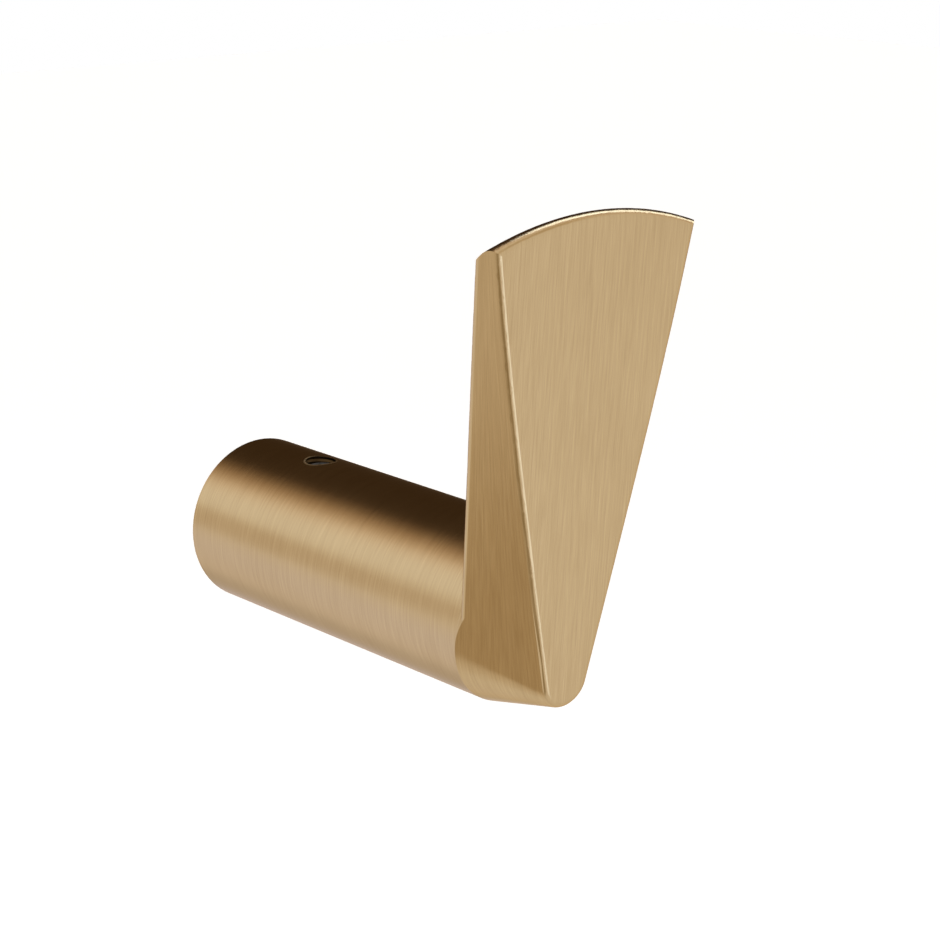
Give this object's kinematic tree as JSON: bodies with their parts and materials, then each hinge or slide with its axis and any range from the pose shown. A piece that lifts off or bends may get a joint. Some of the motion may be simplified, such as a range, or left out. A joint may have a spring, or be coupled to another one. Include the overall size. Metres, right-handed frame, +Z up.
{
  "type": "robe hook",
  "caption": "Wall-mounted robe hook: a round post that ends in a fan-shaped leaning blade, held on a hidden wall bracket by a set screw.",
  "frame": {"origin": "centre of the post's wall end, on the wall's plane", "axes": "+Y into the wall along the post's axis, the hook stands out along -Y, +Z up"},
  "size_m": [0.032, 0.0666, 0.0614],
  "materials": {
    "brushed_brass": "satin, brushed, warm gold",
    "bracket_steel": "turned, zinc plated",
    "screw_steel": "hardened, dark, lightly oiled"
  },
  "bodies": {
    "root": {"hook_body": "brushed_brass", "wall_bracket": "bracket_steel", "grub_screw": "screw_steel"}
  },
  "joints": []
}
